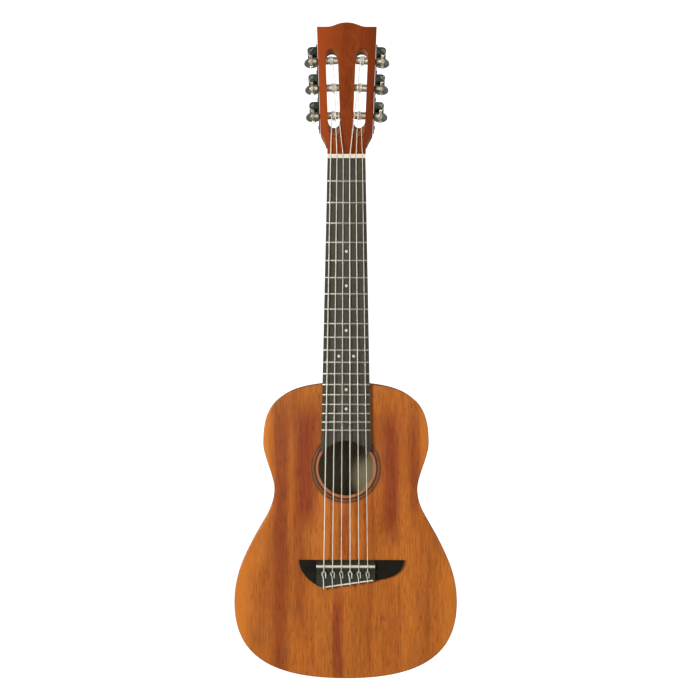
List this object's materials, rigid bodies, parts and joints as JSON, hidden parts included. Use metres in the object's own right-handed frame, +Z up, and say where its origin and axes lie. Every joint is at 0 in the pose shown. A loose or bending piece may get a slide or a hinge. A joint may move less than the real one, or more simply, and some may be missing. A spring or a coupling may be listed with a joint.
{
  "type": "guitalele",
  "caption": "Small nylon-strung guitar with a slotted headstock, worm-geared tuners, round sound hole, offset bridge and hollow braced body.",
  "frame": {"origin": "the middle of the nut's front edge at the height of the fretboard's face, where a wall hanger's yoke holds the neck below the headstock", "axes": "+Z up along the strings from the bridge to the headstock, -Y out of the soundboard towards the listener, +X to the treble side, on the listener's right"},
  "size_m": [0.2368, 0.0822, 0.7032],
  "materials": {
    "top_wood": "satin mahogany",
    "side_wood": "satin mahogany",
    "neck_wood": "satin mahogany",
    "headplate_wood": "satin mahogany veneer",
    "brace_wood": "bare spruce",
    "fretboard_wood": "oiled dark hardwood",
    "bridge_wood": "black satin",
    "inlay": "satin inlay rings",
    "bone": "polished bone colour",
    "nylon": "translucent nylon",
    "wound_string": "silvered wire winding",
    "chrome": "polished plating",
    "steel": "plated rollers and gears"
  },
  "bodies": {
    "instrument": {"soundboard": "top_wood", "back": "side_wood", "side_bass": "side_wood", "side_treble": "side_wood", "lining_top_bass": "brace_wood", "lining_top_treble": "brace_wood", "lining_back_bass": "brace_wood", "lining_back_treble": "brace_wood", "neck_block": "brace_wood", "tail_block": "brace_wood", "upper_brace": "brace_wood", "lower_brace": "brace_wood", "fan_brace_bass": "brace_wood", "fan_brace_middle": "brace_wood", "fan_brace_treble": "brace_wood", "back_brace_1": "brace_wood", "back_brace_2": "brace_wood", "back_brace_3": "brace_wood", "bridge_plate": "brace_wood", "rosette": "inlay", "bridge": "bridge_wood", "tie_strip": "bone", "saddle": "bone", "nut": "bone", "fretboard": "fretboard_wood", "neck": "neck_wood", "headplate": "headplate_wood", "machine_plate_treble": "chrome", "machine_plate_bass": "chrome", "string_1": "nylon", "string_2": "nylon", "string_3": "nylon", "string_4": "wound_string", "string_5": "wound_string", "string_6": "wound_string"},
    "knob_shaft_1": {"worm_1": "chrome", "button_1": "chrome"},
    "knob_shaft_2": {"worm_2": "chrome", "button_2": "chrome"},
    "knob_shaft_3": {"worm_3": "chrome", "button_3": "chrome"},
    "knob_shaft_4": {"worm_4": "chrome", "button_4": "chrome"},
    "knob_shaft_5": {"worm_5": "chrome", "button_5": "chrome"},
    "knob_shaft_6": {"worm_6": "chrome", "button_6": "chrome"},
    "string_roller_1": {"roller_1": "steel", "gear_1": "steel"},
    "string_roller_2": {"roller_2": "steel", "gear_2": "steel"},
    "string_roller_3": {"roller_3": "steel", "gear_3": "steel"},
    "string_roller_4": {"roller_4": "steel", "gear_4": "steel"},
    "string_roller_5": {"roller_5": "steel", "gear_5": "steel"},
    "string_roller_6": {"roller_6": "steel", "gear_6": "steel"}
  },
  "joints": [
    {"name": "button_1_spin", "type": "hinge", "parent": "instrument", "child": "knob_shaft_1", "pos_m": [0.03642, 0.02365, 0.05617], "axis": [0, 0.9763, -0.2164], "continuous": true},
    {"name": "button_2_spin", "type": "hinge", "parent": "instrument", "child": "knob_shaft_2", "pos_m": [0.03761, 0.03044, 0.08681], "axis": [0, 0.9763, -0.2164], "continuous": true},
    {"name": "button_3_spin", "type": "hinge", "parent": "instrument", "child": "knob_shaft_3", "pos_m": [0.03877, 0.03714, 0.11705], "axis": [0, 0.9763, -0.2164], "continuous": true},
    {"name": "button_4_spin", "type": "hinge", "parent": "instrument", "child": "knob_shaft_4", "pos_m": [-0.03877, 0.03714, 0.11705], "axis": [0, 0.9763, -0.2164], "continuous": true},
    {"name": "button_5_spin", "type": "hinge", "parent": "instrument", "child": "knob_shaft_5", "pos_m": [-0.03761, 0.03044, 0.08681], "axis": [0, 0.9763, -0.2164], "continuous": true},
    {"name": "button_6_spin", "type": "hinge", "parent": "instrument", "child": "knob_shaft_6", "pos_m": [-0.03642, 0.02365, 0.05617], "axis": [0, 0.9763, -0.2164], "continuous": true},
    {"name": "roller_1_spin", "type": "hinge", "parent": "instrument", "child": "string_roller_1", "pos_m": [-0.00118, 0.0219, 0.04828], "axis": [0.9993, -0.0082, -0.0368], "continuous": true},
    {"name": "roller_2_spin", "type": "hinge", "parent": "instrument", "child": "string_roller_2", "pos_m": [0, 0.02869, 0.07891], "axis": [0.9993, -0.0082, -0.0368], "continuous": true},
    {"name": "roller_3_spin", "type": "hinge", "parent": "instrument", "child": "string_roller_3", "pos_m": [0.00117, 0.03539, 0.10915], "axis": [0.9993, -0.0082, -0.0368], "continuous": true},
    {"name": "roller_4_spin", "type": "hinge", "parent": "instrument", "child": "string_roller_4", "pos_m": [-0.00117, 0.03539, 0.10915], "axis": [0.9993, 0.0082, 0.0368], "continuous": true},
    {"name": "roller_5_spin", "type": "hinge", "parent": "instrument", "child": "string_roller_5", "pos_m": [0, 0.02869, 0.07891], "axis": [0.9993, 0.0082, 0.0368], "continuous": true},
    {"name": "roller_6_spin", "type": "hinge", "parent": "instrument", "child": "string_roller_6", "pos_m": [0.00118, 0.0219, 0.04828], "axis": [0.9993, 0.0082, 0.0368], "continuous": true}
  ],
  "couplings": [
    {"joint": "roller_1_spin", "follows": "button_1_spin", "ratio": 0.071429},
    {"joint": "roller_2_spin", "follows": "button_2_spin", "ratio": 0.071429},
    {"joint": "roller_3_spin", "follows": "button_3_spin", "ratio": 0.071429},
    {"joint": "roller_4_spin", "follows": "button_4_spin", "ratio": -0.071429},
    {"joint": "roller_5_spin", "follows": "button_5_spin", "ratio": -0.071429},
    {"joint": "roller_6_spin", "follows": "button_6_spin", "ratio": -0.071429}
  ]
}
